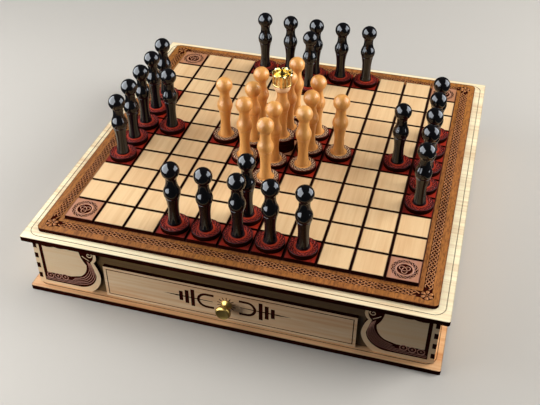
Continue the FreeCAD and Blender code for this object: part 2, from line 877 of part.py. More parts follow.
def peg_steps():
    """The turned outline from the foot up to the chin, shared by all the men."""
    crease_low = "(dims.crease_height - dims.crease_half)"
    crease_high = "(dims.crease_height + dims.crease_half)"
    return [
        (("dims.foot_radius", "0"),),
        (("dims.waist_radius", "dims.waist_height"), ("dims.crease_radius", crease_low)),
        (("dims.crease_radius - dims.crease_depth", "dims.crease_height"),),
        (("dims.crease_radius", crease_high),),
        (
            ("dims.shoulder_radius", SHOULDER_HEIGHT),
            ("dims.collarbone_radius", COLLARBONE_HEIGHT),
        ),
        (("dims.neck_radius", NECK_HEIGHT), ("dims.chin_radius", CHIN_HEIGHT)),
    ]


def make_peg():
    body = new_body("peg")
    sketch = add_sketch(body, "peg_profile", "XZ_Plane")
    draw_outline(
        sketch,
        ("0", "0"),
        *peg_steps(),
        (("dims.ball_radius", BALL_HEIGHT), ("0", f"{BALL_HEIGHT} + dims.ball_radius")),
        (("0", "0"),),
    )
    revolve(body, sketch)
    return body


def make_king_peg():
    """The king's peg is the same, but its ball is cut off for the crown."""
    body = new_body("king_peg")
    sketch = add_sketch(body, "king_profile", "XZ_Plane")
    draw_outline(
        sketch,
        ("0", "0"),
        *peg_steps(),
        (
            ("dims.ball_radius", f"{BALL_HEIGHT} - dims.king_swell_drop"),
            (CROWN_SEAT_RADIUS, CROWN_SEAT_HEIGHT),
        ),
        (("0", CROWN_SEAT_HEIGHT),),
        (("0", "0"),),
    )
    revolve(body, sketch)
    move_to(body, "0", "0", f"{DISC_TOP} + dims.plinth_height")
    return body


def make_disc(name):
    """A round base with a shallow engraved ring."""
    body = plate(name, lambda sketch: circle(sketch, DISC_RADIUS), "XY_Plane", "0", "dims.disc_ply")
    ring = add_sketch(body, f"{name}_ring", "XY_Plane", "dims.disc_ply")
    circle(ring, RING_OUTER)
    circle(ring, RING_INNER)
    pocket(body, ring, "dims.engraving_depth")
    return body


def make_crown():
    """A thin brass cup with a bead round its foot and a scalloped, flared rim."""
    body = new_body("king_crown")
    sketch = add_sketch(body, "crown_profile", "XZ_Plane")
    wall = "dims.crown_wall"
    rim = f"({CROWN_RADIUS} + dims.crown_flare)"
    waist = f"({CROWN_RADIUS} + dims.crown_waist)"
    waist_height = "(dims.crown_bowl_height + dims.crown_height) / 2"
    belly = f"({CROWN_RADIUS} - dims.crown_bowl_inset)"
    bead = f"({CROWN_RADIUS} + dims.crown_bead_step)"
    draw_outline(
        sketch,
        ("0", "0"),
        ((bead, "0"),),
        ((bead, "dims.crown_bead"),),
        ((CROWN_RADIUS, "dims.crown_bead"),),
        ((CROWN_RADIUS, "dims.crown_bowl_height"),),
        ((waist, waist_height), (rim, "dims.crown_height")),
        ((f"{rim} - {wall}", "dims.crown_height"),),
        (
            (f"{waist} - {wall}", waist_height),
            (f"{CROWN_RADIUS} - {wall}", "dims.crown_bowl_height"),
        ),
        (
            (f"{belly} - {wall}", f"dims.crown_bowl_rise + {wall} / 2"),
            (f"{CROWN_SEAT_RADIUS} - dims.crown_floor_step", wall),
        ),
        (("0", wall),),
        (("0", "0"),),
    )
    revolve(body, sketch)
    notch = add_sketch(body, "crown_notch", "XZ_Plane")
    circle(notch, "dims.crown_notch_radius", "0", "dims.crown_height + dims.crown_notch_rise")
    cut = pocket(body, notch, f"{rim} + {wall}")
    pattern = body.newObject("PartDesign::PolarPattern", "crown_scallops")
    pattern.Originals = [cut]
    z_axis = next(f for f in body.Origin.OriginFeatures if f.Role == "Z_Axis")
    pattern.Axis = (z_axis, [""])
    pattern.Angle = 360
    pattern.Occurrences = int(measure("dims.crown_points"))
    body.Tip = pattern
    doc.recompute()
    move_to(body, "0", "0", f"{DISC_TOP} + dims.plinth_height + {CROWN_SEAT_HEIGHT}")
    body.setExpression(".Placement.Rotation.Angle", "180 deg / dims.crown_points")
    return body


def make_king():
    plinth = plate(
        "king_plinth",
        lambda sketch: circle(sketch, DISC_RADIUS),
        "XY_Plane",
        TILE_TOP,
        "dims.plinth_height",
    )
    disc = make_disc("king_disc")
    move_to(disc, "0", "0", f"{TILE_TOP} + dims.plinth_height")
    return [plinth, disc, make_king_peg(), make_crown()]


def make_men():
    """Every man is a peg and a disc on its own square."""
    peg = make_peg()
    peg.setExpression(".Placement.Base.z", "dims.disc_ply")
    disc = make_disc("disc")
    men = []
    for colour, squares in (("attacker", ATTACKER_SQUARES), ("defender", DEFENDER_SQUARES)):
        for number, (column, row) in enumerate(sorted(squares, key=lambda s: (s[1], s[0])), start=1):
            man = group(f"{colour}_{number:02d}", [disc, peg])
            move_to(man, square_centre(column), square_centre(row), TILE_TOP)
            men.append(man)
    return men


def check_document():
    for item in doc.Objects:
        if "Invalid" in item.State or "Error" in item.State:
            raise RuntimeError(f"{item.Label} is {item.State}")


def main():
    pieces = [
        make_plate("base_plate", "0", "dims.base_ply"),
        make_side_panel("left_side_panel", f"-{BOX_HALF}"),
        make_side_panel("right_side_panel", WALL_INSIDE),
        make_back_panel(),
        make_prow_panel("left_prow_panel", -1),
        make_prow_panel("right_prow_panel", 1),
        make_front_wall(),
        make_drawer_guides(),
        make_plate("top_board", WALL_TOP, "dims.top_ply"),
        make_border_panel(),
        *make_tiles(),
        make_drawer_front(),
        *make_drawer_tray(),
        make_knob(),
        make_knob_screw(),
        *make_king(),
        *make_men(),
    ]
    doc.recompute()
    check_document()
    for piece in pieces:
        if piece.Shape.isNull() or not piece.Shape.isValid():
            raise RuntimeError(f"{piece.Label} has no valid shape")
    os.makedirs("parts", exist_ok=True)
    for piece in pieces:
        piece.Shape.exportStep(f"parts/{piece.Label}.step")
        print(piece.Label, len(piece.Shape.Solids), round(piece.Shape.Volume, 1))


main()
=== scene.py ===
import json
from math import asin, atan2, ceil, cos, hypot, pi, radians, sin

import bpy
from bpy.props import FloatProperty, FloatVectorProperty, IntProperty, PointerProperty
from bpy.types import NodeSocket, Operator, Panel, PropertyGroup
from mathutils import Matrix, Vector

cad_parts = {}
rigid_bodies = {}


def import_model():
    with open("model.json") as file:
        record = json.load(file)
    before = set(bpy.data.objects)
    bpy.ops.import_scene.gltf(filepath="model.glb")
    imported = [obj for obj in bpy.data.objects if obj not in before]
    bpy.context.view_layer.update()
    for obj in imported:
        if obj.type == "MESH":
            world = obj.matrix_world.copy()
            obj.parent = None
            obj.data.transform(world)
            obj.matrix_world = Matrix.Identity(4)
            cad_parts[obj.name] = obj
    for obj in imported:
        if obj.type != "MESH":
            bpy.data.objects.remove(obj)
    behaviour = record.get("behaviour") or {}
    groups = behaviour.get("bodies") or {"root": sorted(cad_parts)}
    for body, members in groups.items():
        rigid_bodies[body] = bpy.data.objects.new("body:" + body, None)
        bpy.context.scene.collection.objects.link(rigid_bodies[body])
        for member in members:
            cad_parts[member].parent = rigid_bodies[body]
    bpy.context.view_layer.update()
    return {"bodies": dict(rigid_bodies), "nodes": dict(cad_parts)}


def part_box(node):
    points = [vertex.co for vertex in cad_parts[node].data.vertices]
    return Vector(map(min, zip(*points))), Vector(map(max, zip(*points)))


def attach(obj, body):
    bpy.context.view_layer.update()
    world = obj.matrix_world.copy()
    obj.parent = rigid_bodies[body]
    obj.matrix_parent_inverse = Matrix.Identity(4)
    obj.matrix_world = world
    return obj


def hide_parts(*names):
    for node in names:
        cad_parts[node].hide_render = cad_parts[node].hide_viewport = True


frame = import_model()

bl_info = {
    "name": "Hnefatafl Board",
    "version": (1, 0, 0),
    "blender": (4, 5, 0),
    "location": "View3D > Sidebar > Tafl",
    "description": "Finishes a hnefatafl board, its men and its drawer, and lights them",
    "category": "Object",
}

# The CAD box, and levels and half widths that the frame gives

MM = 0.001
X, Y, Z = range(3)
SQUARES = 11


def level(node):
    """The height of a node's top face."""
    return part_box(node)[1][Z]


def half_width(node):
    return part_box(node)[1][X]


BASE_TOP = level("base_plate")
BOARD_TOP = level("top_board")
BORDER_TOP = level("border_panel")
TILE_TOP = level("plain_tiles")
DISC_TOP = level("king_disc") - level("king_plinth") + TILE_TOP
KING_DISC_TOP = level("king_disc")
CROWN_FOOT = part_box("king_crown")[0][Z]
FRONT_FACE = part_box("drawer_front")[0][Y]
BOX_HALF = half_width("right_side_panel")
PROW_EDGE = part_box("right_prow_panel")[0][X]
FIELD_HALF = half_width("corner_tiles")
TILE_HALF = half_width("throne_tile")
PITCH = (FIELD_HALF - TILE_HALF) * 2 / (SQUARES - 1)
ATTACKERS = sorted(name for name in frame["bodies"] if name.startswith("attacker"))
DEFENDERS = sorted(name for name in frame["bodies"] if name.startswith("defender"))


# Sizes and colours that a user would change

def length(description, millimetres):
    return FloatProperty(
        name=description, description=description, default=millimetres * MM, unit="LENGTH", precision=5
    )


def colour(description, code):
    """A colour written as six hexadecimal digits, as on a paint card."""
    shades = [int(code[i:i + 2], 16) / 255 for i in (0, 2, 4)]
    return FloatVectorProperty(
        name=description, description=description, default=shades, subtype="COLOR_GAMMA", min=0, max=1
    )


class TaflColours(PropertyGroup):
    birch: colour("Top board", "FDF0C8")
    warm_birch: colour("Base plate", "E2B787")
    panel: colour("Box panels", "D6BB95")
    # The wood inside the box is darkened as painted shade, standing in for the shadow in the recess behind
    # the prows and above the drawer.
    inner: colour("Wood inside the box, darkened as painted shade", "584116")
    stain: colour("Stained border", "AC6F2E")
    stain_pink: colour("Paler patches of the stain", "B27038")
    tile: colour("Plain tiles", "EAC796")
    tile_dark: colour("Streaks in the plain tiles", "D2A473")
    corner: colour("Corner tiles", "B07C66")
    red: colour("Red stain", "B42A10")
    red_bright: colour("Red where the stain is thin", "B0341A")
    red_dark: colour("Red where the stain is thick", "3A0606")
    red_pale: colour("Strands on the red discs", "B43626")
    maroon: colour("Engraved floor of the light discs", "5A1C0E")
    char: colour("Wood burnt by the laser", "200803")
    ridge: colour("Strands of the plait", "C88450")
    engraved: colour("Engraved wood", "381009")
    scorched: colour("Thin ridges between engraved lines", "B07862")
    drawer_inner: colour("Drawer tray", "C9A970")
    cream: colour("Bare wood on the light discs", "F2D3AC")
    lacquer: colour("Black lacquer", "0A090B")
    beech: colour("Light men", "E4A65A")
    beech_dark: colour("Pores and streaks of the light men", "B96F26")
    brass: colour("Crown", "D9C690")
    knob: colour("Knob", "A88A4C")
    steel: colour("Screw", "B8B8B4")
    floor: colour("Studio floor", "B8B3AB")


class TaflCarving(PropertyGroup):
    relief: length("Depth of the engraving", 0.35)
    band_gap: length("From the field to the plait", 4.0)
    band_width: length("Width of the plait", 6.5)
    strand: length("Width of a strand in the plait", 0.85)
    strand_gap: length("Dark line beside a strand", 0.4)
    plait_length: length("One turn of a strand in the plait", 18.0)
    rosette: length("Radius of a corner rosette", 5.0)
    petals: IntProperty(name="Petals", description="Petals in a rosette", default=6, min=3)
    medallion: length("Radius of a medallion", 9.8)
    ring_strand: length("Width of a strand in a ring", 0.48)
    hoop: length("Width of the plain ring in a medallion", 1.5)
    ring_turns: IntProperty(name="Ring turns", description="Turns of a strand in a ring", default=8, min=3)
    ring_sway: length("Sway of the ring's strands", 0.95)
    disc_strand: length("Width of a strand on a disc", 0.5)
    disc_sway: length("Sway of the strands on a disc", 1.1)
    disc_turns: IntProperty(name="Disc turns", description="Turns of a strand on a disc", default=8, min=3)
    knot: length("Radius of the knot in a medallion", 4.4)
    plank: length("Width of a line between planks", 0.45)
    shield: length("Radius of a shield", 3.0)


class TaflMen(PropertyGroup):
    foot: length("Radius of a peg's foot", 5.6)
    waist: length("Radius of a peg's waist", 4.15)
    waist_height: length("Height of the waist", 12.0)
    crease: length("Radius at the crease", 5.6)
    crease_height: length("Height of the crease", 24.8)
    crease_depth: length("Depth of the crease", 0.12)
    shoulder: length("Radius of the shoulder", 6.6)
    shoulder_height: length("Height of the shoulder", 29.4)
    collar: length("Radius above the shoulder", 5.6)
    collar_height: length("Height above the shoulder", 33.0)
    neck: length("Radius of the neck", 4.2)
    neck_height: length("Height of the neck", 38.4)
    chin: length("Radius under the ball", 4.6)
    ball: length("Radius of the ball", 6.9)
    ball_height: length("Height of the ball's middle", 48.2)
    disc: length("Radius of a disc", 11.25)
    disc_ring_outer: length("Outer radius of a disc's ring", 10.4)
    disc_ring_inner: length("Inner radius of a disc's ring", 7.2)
    seat: length("Radius of the king's cut ball", 5.8)
    seat_rise: length("How far the cut is above the ball's middle", 1.4)
    crown: length("Radius of the crown", 8.0)
    crown_floor: length("Radius of the flat floor in the crown", 4.95)
    crown_bead: length("Height of the bead round the crown's foot", 1.1)
    crown_bead_step: length("How far the bead stands out", 0.25)
    crown_bowl: length("Height of the crown's bowl", 4.2)
    crown_height: length("Height of the crown", 10.6)
    crown_flare: length("How far the crown's rim leans out", 0.9)
    crown_wall: length("Thickness of the crown", 0.9)
    crown_notch: length("Radius of the crown's notches", 1.9)
    crown_points: IntProperty(name="Points", description="Points of the crown", default=8, min=3)


class TaflStudio(PropertyGroup):
    azimuth: FloatProperty(name="Azimuth", description="Camera turn", default=0.2711, subtype="ANGLE")
    elevation: FloatProperty(name="Elevation", description="Camera rise", default=0.6759, subtype="ANGLE")
    roll: FloatProperty(name="Roll", description="Camera roll", default=0.0041, subtype="ANGLE")
    place: FloatVectorProperty(
        name="Place",
        description="Camera place",
        default=(0.14664, -0.56333, 0.46508),
        subtype="TRANSLATION",
    )
    lens: FloatProperty(name="Lens", description="Focal length in mm", default=54.66)
    key_power: FloatProperty(name="Key", description="Power of the left soft box in W", default=4.3)
    fill_power: FloatProperty(name="Fill", description="Power of the right soft box in W", default=25)
    top_power: FloatProperty(name="Top", description="Power of the overhead soft box in W", default=4.5)
    front_power: FloatProperty(
        name="Front", description="Power of the soft box at the front in W", default=0.28
    )
    glint: FloatProperty(
        name="Glint", description="Power of the panels that only show as reflections in W", default=36
    )
    ambient: FloatProperty(name="Ambient", description="Strength of the light all round", default=0.08)


GROUPS = {
    "tafl_colours": TaflColours,
    "tafl_carving": TaflCarving,
    "tafl_men": TaflMen,
    "tafl_studio": TaflStudio,
}


# Modelling helpers

SEAM = MM / 500


def deselect():
    if bpy.context.mode != "OBJECT":
        bpy.ops.object.mode_set(mode="OBJECT")
    bpy.ops.object.select_all(action="DESELECT")


def pick(piece):
    """Makes one piece the only selected one."""
    deselect()
    piece.select_set(True)
    bpy.context.view_layer.objects.active = piece


def apply_modifier(piece, kind, **settings):
    pick(piece)
    modifier = piece.modifiers.new(kind.title(), kind)
    for key, value in settings.items():
        setattr(modifier, key, value)
    bpy.ops.object.modifier_apply(modifier=modifier.name)


def smooth(piece, degrees=35):
    pick(piece)
    bpy.ops.object.shade_smooth_by_angle(angle=radians(degrees))


def settle(piece):
    """Puts a piece's place and turn into its mesh, so that the object itself is at the origin."""
    pick(piece)
    bpy.ops.object.transform_apply(location=True, rotation=True, scale=True)


def shift(piece, across=0.0, along=0.0, up=0.0):
    piece.location = (across, along, up)
    settle(piece)


def tip_forward(piece):
    """Stands up a piece that lies flat, so that its top looks towards -Y."""
    piece.rotation_euler = (pi / 2, 0, 0)
    settle(piece)


def copy_of(master, name):
    pick(master)
    bpy.ops.object.duplicate(linked=False)
    piece = bpy.context.object
    piece.name = name
    piece.data.name = name
    return piece


def join(name, pieces):
    pick(pieces[0])
    for piece in pieces:
        piece.select_set(True)
    bpy.ops.object.join()
    pieces[0].name = name
    pieces[0].data.name = name
    return pieces[0]


def remove(piece):
    pick(piece)
    bpy.ops.object.delete()


def arc(start, via, end, parts):
    """Points on the arc from start through via to end, without its start."""
    (ax, ay), (bx, by), (cx, cy) = start, via, end
    double_area = 2 * (ax * (by - cy) + bx * (cy - ay) + cx * (ay - by))
    a2, b2, c2 = ax * ax + ay * ay, bx * bx + by * by, cx * cx + cy * cy
    ux = (a2 * (by - cy) + b2 * (cy - ay) + c2 * (ay - by)) / double_area
    uy = (a2 * (cx - bx) + b2 * (ax - cx) + c2 * (bx - ax)) / double_area
    radius = hypot(ax - ux, ay - uy)
    first = atan2(ay - uy, ax - ux)
    turn_to_via = (atan2(by - uy, bx - ux) - first) % (2 * pi)
    turn_to_end = (atan2(cy - uy, cx - ux) - first) % (2 * pi)
    sweep = turn_to_end if turn_to_via < turn_to_end else turn_to_end - 2 * pi
    angles = [first + sweep * (part + 1) / parts for part in range(parts)]
    return [(ux + radius * cos(angle), uy + radius * sin(angle)) for angle in angles]


def turned(name, outline, steps=64, angle=35):
    """Spins an outline of radii and heights about the Z axis, as a lathe does."""
    deselect()
    bpy.ops.mesh.primitive_circle_add(vertices=3, radius=MM)
    piece = bpy.context.object
    piece.name = name
    bpy.ops.object.mode_set(mode="EDIT")
    bpy.ops.mesh.select_all(action="SELECT")
    bpy.ops.mesh.merge(type="CENTER")
    bpy.ops.transform.translate(value=(outline[0][0], 0, outline[0][1]))
    for (radius, height), (next_radius, next_height) in zip(outline, outline[1:]):
        move = (next_radius - radius, 0, next_height - height)
        bpy.ops.mesh.extrude_vertices_move(TRANSFORM_OT_translate={"value": move})
    bpy.ops.mesh.select_all(action="SELECT")
    bpy.ops.mesh.spin(steps=steps, angle=2 * pi, center=(0, 0, 0), axis=(0, 0, 1))
    bpy.ops.mesh.select_all(action="SELECT")
    bpy.ops.mesh.remove_doubles(threshold=SEAM)
    bpy.ops.mesh.normals_make_consistent(inside=False)
    smooth(piece, angle)
    return piece


def ribbons(name, paths, width, height, closed=False):
    """Flat strips along paths in the XY plane. A third number on a point is its share of the width."""
    curve = bpy.data.curves.new(name, "CURVE")
    curve.dimensions = "3D"
    curve.twist_mode = "Z_UP"
    curve.extrude = width / 2
    for path in paths:
        spline = curve.splines.new("POLY")
        spline.points.add(len(path) - 1)
        for point, place in zip(spline.points, path):
            point.co = (place[0], place[1], 0, 1)
            point.radius = place[2] if len(place) > 2 else 1
            point.tilt = pi / 2
        spline.use_cyclic_u = closed
    piece = bpy.data.objects.new(name, curve)
    bpy.context.collection.objects.link(piece)
    pick(piece)
    bpy.ops.object.convert(target="MESH")
    piece = bpy.context.object
    apply_modifier(piece, "SOLIDIFY", thickness=height, offset=1)
    return piece


def finish(piece, body, slot, material, *nodes):
    """Gives a piece its material, and says what carries it and which nodes it stands for."""
    settle(piece)
    piece.data.materials.clear()
    piece.data.materials.append(material)
    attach(piece, body)
    if nodes:
        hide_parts(*nodes)


def paint(material, *nodes):
    """Gives CAD nodes a material."""
    for node in nodes:
        for slot in frame["nodes"][node].material_slots:
            slot.material = material


# Material helpers

def linear(shades):
    """The scene's linear values of a colour from the panel, by the sRGB curve, with alpha."""
    toe, slope, offset, power = 0.04045, 12.92, 0.055, 2.4
    channels = [c / slope if c <= toe else ((c + offset) / (1 + offset)) ** power for c in shades]
    return (*channels, 1)


def dimmed(shade, factor):
    """A linear colour times a factor, still opaque."""
    return (*(channel * factor for channel in shade[:3]), 1)


class Recipe:
    """One material, with short ways to add and join its nodes."""

    def __init__(self, name, roughness, specular=0.3, metallic=0.0):
        self.material = bpy.data.materials.new(name)
        self.material.use_nodes = True
        self.tree = self.material.node_tree
        self.shader = self.tree.nodes["Principled BSDF"]
        self.shader.inputs["Roughness"].default_value = roughness
        self.shader.inputs["Specular IOR Level"].default_value = specular
        self.specular = specular
        self.shader.inputs["Metallic"].default_value = metallic
        coordinates = self.tree.nodes.new("ShaderNodeTexCoord")
        self.place = coordinates.outputs["Object"]
        self.axes = self.split(self.place)
        self.facing = self.split(coordinates.outputs["Normal"])

    def node(self, kind, *values, **settings):
        node = self.tree.nodes.new(f"ShaderNode{kind}")
        for key, value in settings.items():
            setattr(node, key, value)
        for socket, value in zip(node.inputs, values):
            self.feed(socket, value)
        return node

    def feed(self, socket, value):
        if isinstance(value, NodeSocket):
            self.tree.links.new(value, socket)
        else:
            socket.default_value = value

    def split(self, vector):
        node = self.node("SeparateXYZ", vector)
        return [node.outputs[axis] for axis in "XYZ"]

    def math(self, operation, *values, **settings):
        return self.node("Math", *values, operation=operation, **settings).outputs[0]

    def times(self, first, second):
        return self.math("MULTIPLY", first, second)

    def vector(self, *values):
        return self.node("CombineXYZ", *values).outputs[0]

    def noise(self, stretch, place=None, detail=2.0, rough=0.5):
        """Noise from 0 to 1, with its own count of features per metre along each axis."""
        mapping = self.node("Mapping", place or self.place)
        mapping.inputs["Scale"].default_value = stretch
        node = self.node("TexNoise")
        self.feed(node.inputs["Vector"], mapping.outputs[0])
        node.inputs["Scale"].default_value = 1
        node.inputs["Detail"].default_value = detail
        node.inputs["Roughness"].default_value = rough
        return node.outputs["Fac"]

    def ramp(self, value, low, high):
        """0 below low, 1 above high, and smooth between. It falls where low is the greater."""
        node = self.node("MapRange", interpolation_type="SMOOTHSTEP")
        rising = low < high
        for socket, number in zip(node.inputs, (value, min(low, high), max(low, high), 1 - rising, rising)):
            self.feed(socket, number if isinstance(number, NodeSocket) else float(number))
        return node.outputs["Result"]

    def mix(self, share, first, second, blend="MIX"):
        node = self.node("Mix", data_type="RGBA", blend_type=blend)
        self.feed(node.inputs["Factor"], share)
        self.feed(node.inputs[6], first)
        self.feed(node.inputs[7], second)
        return node.outputs[2]

    def bump(self, height, distance, strength=1.0):
        node = self.node("Bump")
        node.inputs["Strength"].default_value = strength
        node.inputs["Distance"].default_value = distance
        self.feed(node.inputs["Height"], height)
        self.feed(self.shader.inputs["Normal"], node.outputs[0])

    def done(self, base):
        self.feed(self.shader.inputs["Base Color"], base)
        return self.material

    # Shapes that materials follow

    def square_count(self):
        """Which square a point is on, counted from the middle along X and along Y."""
        return [self.math("ROUND", self.math("DIVIDE", axis, PITCH)) for axis in self.axes[:Z]]

    def square_place(self):
        """How far a point is from the middle of its own square, along X and along Y."""
        return [
            self.math("SUBTRACT", axis, self.times(count, PITCH))
            for axis, count in zip(self.axes, self.square_count())
        ]

    def square_radius(self):
        across, along = self.square_place()
        return self.node("VectorMath", self.vector(across, along, 0.0), operation="LENGTH").outputs["Value"]

    def square_seed(self):
        """A number from 0 to 1 that is one square's own."""
        counts = self.square_count()
        node = self.node("TexWhiteNoise", self.vector(*counts, 0.0), noise_dimensions="3D")
        return node.outputs["Value"]

    def in_from_edge(self, across, along, half):
        """How far a point lies inside the edge of a square of this half width."""
        reach = self.math("MAXIMUM", self.math("ABSOLUTE", across), self.math("ABSOLUTE", along))
        return self.math("SUBTRACT", half, reach)

    def sunk(self, axis, face, inward):
        """1 on an engraved floor, just under a face at this level, and 0 elsewhere."""
        depth = self.times(self.math("SUBTRACT", self.axes[axis], face), inward)
        past_face = self.ramp(depth, 0.1 * MM, 0.2 * MM)
        above_deep = self.ramp(depth, 0.8 * MM, 0.6 * MM)
        return self.times(past_face, above_deep)


def tafl_colour(name):
    return linear(getattr(bpy.context.scene.tafl_colours, name))


def grain_stretch(grain, along, across):
    """Counts per metre along the grain and across it."""
    return tuple(along if axis == grain else across for axis in range(3))


def add_grain(recipe, base, dark, grain, contrast=0.5, place=None):
    """Broad tone, long streaks and fine pores, all drawn out along the grain."""
    broad = recipe.noise(grain_stretch(grain, 9, 60), place, 3)
    streak = recipe.noise(grain_stretch(grain, 14, 420), place, 4, 0.6)
    pore = recipe.noise(grain_stretch(grain, 160, 2400), place, 2)
    tone = recipe.math("ADD", recipe.ramp(broad, 0.35, 0.7), recipe.ramp(streak, 0.4, 0.68))
    share = recipe.times(tone, contrast * 0.5)
    pored = recipe.times(recipe.ramp(pore, 0.62, 0.72), contrast * 0.5)
    recipe.bump(recipe.math("ADD", streak, pore), 0.03 * MM, 0.35)
    return recipe.mix(recipe.math("MAXIMUM", share, pored), base, dark)


def burn(recipe, wood, thick, halo=None, floor=None):
    """Laser burns: black edges with a trace of the plies, dark engraved floors, and a brown halo. On the
    border the halo also holds painted shade in the gaps between the tiles.
    """
    char, engraved = tafl_colour("char"), tafl_colour("engraved")
    if halo is not None:
        wood = recipe.mix(halo, wood, engraved)
    if floor is not None:
        soot = recipe.noise((900, 900, 900), detail=3)
        wood = recipe.mix(floor, wood, recipe.mix(recipe.ramp(soot, 0.35, 0.7), engraved, char))
    plies = recipe.noise(grain_stretch(thick, 1400, 90), detail=1)
    edge = recipe.mix(recipe.ramp(plies, 0.5, 0.75), char, engraved)
    on_face = recipe.ramp(recipe.math("ABSOLUTE", recipe.facing[thick]), 0.4, 0.7)
    bare = on_face if floor is None else recipe.math("SUBTRACT", on_face, floor)
    shine = recipe.math("MULTIPLY", bare, recipe.specular, use_clamp=True)
    recipe.feed(recipe.shader.inputs["Specular IOR Level"], shine)
    return recipe.mix(on_face, edge, wood)


# Wood finishes

def plate_finish(name, base, dark, half, face):
    """A flat board with its grain along X, a burnt edge and an engraved line."""
    recipe = Recipe(name, 0.5)
    wood = add_grain(recipe, tafl_colour(base), tafl_colour(dark), X, 0.75)
    inside = recipe.in_from_edge(*recipe.axes[:Z], half)
    halo = recipe.times(recipe.ramp(inside, 0.9 * MM, 0.0), 0.45)
    line = recipe.times(recipe.sunk(Z, face, -1), 0.5)
    return recipe.done(burn(recipe, wood, Z, halo, line))


def wall_finish(name, base, dark, grain, thick, face=None):
    """A board with its grain and its thickness along the given axes, and perhaps an engraved face."""
    recipe = Recipe(name, 0.55)
    wood = add_grain(recipe, tafl_colour(base), tafl_colour(dark), grain, 0.6)
    floor = recipe.sunk(thick, face, 1) if face is not None else None
    return recipe.done(burn(recipe, wood, thick, None, floor))


def border_finish(name, stain, patches):
    """Stain that changes colour in patches. Its rim and the field under the tiles are dark: the rim is
    burnt, and the field is burnt wood with painted shade for the gaps between the tiles.
    """
    recipe = Recipe(name, 0.5, 0.12)
    patch = recipe.ramp(recipe.noise((14, 9, 10), detail=3), 0.35, 0.65)
    stained = recipe.mix(patch, tafl_colour(stain), tafl_colour(patches))
    wood = add_grain(recipe, stained, tafl_colour("engraved"), Y, 0.4)
    speck = recipe.ramp(recipe.noise((620, 150, 620), detail=4, rough=0.7), 0.4, 0.64)
    wood = recipe.mix(recipe.times(speck, 0.55), wood, tafl_colour("engraved"))
    inside = recipe.in_from_edge(*recipe.axes[:Z], half_width("border_panel"))
    rim = recipe.times(recipe.ramp(inside, 1.2 * MM, 0.0), 0.7)
    # The field under the tiles is painted dark. The gap floors are burnt, and this also paints the shade
    # that falls into the narrow gaps between the tiles.
    field = recipe.in_from_edge(*recipe.axes[:Z], FIELD_HALF + 0.4 * MM)
    halo = recipe.math("MAXIMUM", rim, recipe.ramp(field, -0.6 * MM, 0.0))
    return recipe.done(burn(recipe, wood, Z, halo, recipe.sunk(Z, BORDER_TOP, -1)))


def tile_finish(name, base, dark):
    """Each square has its own tone and its own stretch of grain along Y, and a burnt rim."""
    recipe = Recipe(name, 0.45, 0.2)
    seed = recipe.square_seed()
    own = recipe.vector(seed, recipe.times(seed, 3.0), 0.0)
    place = recipe.node("VectorMath", recipe.place, own, operation="ADD").outputs[0]
    base, dark = tafl_colour(base), tafl_colour(dark)
    wood = add_grain(recipe, base, dark, Y, 0.75, place)
    tone = recipe.times(recipe.ramp(seed, 0.0, 1.0), 0.3)
    wood = recipe.mix(tone, wood, dark)
    across, along = recipe.square_place()
    inside = recipe.in_from_edge(across, along, TILE_HALF)
    halo = recipe.times(recipe.ramp(inside, 0.8 * MM, 0.0), 0.75)
    return recipe.done(burn(recipe, wood, Z, halo, recipe.sunk(Z, TILE_TOP, -1)))


def disc_finish(name, top, outer, inner, floor):
    """A disc's rings by their distance from its middle, with a sooty side."""
    men = bpy.context.scene.tafl_men
    outer, inner, floor, ground = (tafl_colour(shade) for shade in (outer, inner, floor, "char"))
    recipe = Recipe(name, 0.45, 0.2)
    radius = recipe.square_radius()
    past_inner = recipe.ramp(radius, men.disc_ring_inner - 0.2 * MM, men.disc_ring_inner + 0.1 * MM)
    wood = recipe.mix(past_inner, inner, outer)
    streak = recipe.ramp(recipe.noise((500, 60, 60), detail=4, rough=0.65), 0.4, 0.7)
    wood = recipe.mix(recipe.times(streak, 0.3), wood, floor)
    rim = recipe.ramp(radius, men.disc_ring_outer - 0.1 * MM, men.disc_ring_outer + 0.2 * MM)
    wood = recipe.mix(recipe.math("MAXIMUM", rim, recipe.sunk(Z, top, -1)), wood, floor)
    on_face = recipe.ramp(recipe.facing[Z], 0.5, 0.8)
    recipe.feed(recipe.shader.inputs["Specular IOR Level"], recipe.times(on_face, recipe.specular))
    recipe.bump(streak, 0.03 * MM, 0.4)
    return recipe.done(recipe.mix(on_face, ground, wood))


def beech_finish(name, bare_from=None):
    """Oiled beech with an upright grain, short flecks and a soft shine. Each man has its own tone."""
    recipe = Recipe(name, 0.32, 0.4)
    fleck = recipe.ramp(recipe.noise((1500, 1500, 260), detail=2), 0.58, 0.7)
    ring = recipe.ramp(recipe.noise((150, 110, 14), detail=3, rough=0.6), 0.38, 0.66)
    share = recipe.math("ADD", recipe.times(ring, 0.42), recipe.times(fleck, 0.22))
    share = recipe.math("ADD", share, recipe.times(recipe.square_seed(), 0.22))
    recipe.bump(fleck, 0.02 * MM, 0.3)
    wood = recipe.mix(share, tafl_colour("beech"), tafl_colour("beech_dark"))
    if bare_from is not None:
        bare = recipe.ramp(recipe.axes[Z], bare_from, bare_from + 1.5 * MM)
        wood = recipe.mix(recipe.times(bare, 0.6), wood, tafl_colour("cream"))
    return recipe.done(wood)


def lacquer_finish(name):
    recipe = Recipe(name, 0.09, 0.42)
    wave = recipe.noise((220, 220, 40), detail=2)
    recipe.bump(wave, 0.05 * MM, 0.25)
    worn = recipe.ramp(recipe.noise((500, 500, 90), detail=4, rough=0.7), 0.6, 0.8)
    lacquer = tafl_colour("lacquer")
    return recipe.done(recipe.mix(worn, lacquer, dimmed(lacquer, 2.6)))


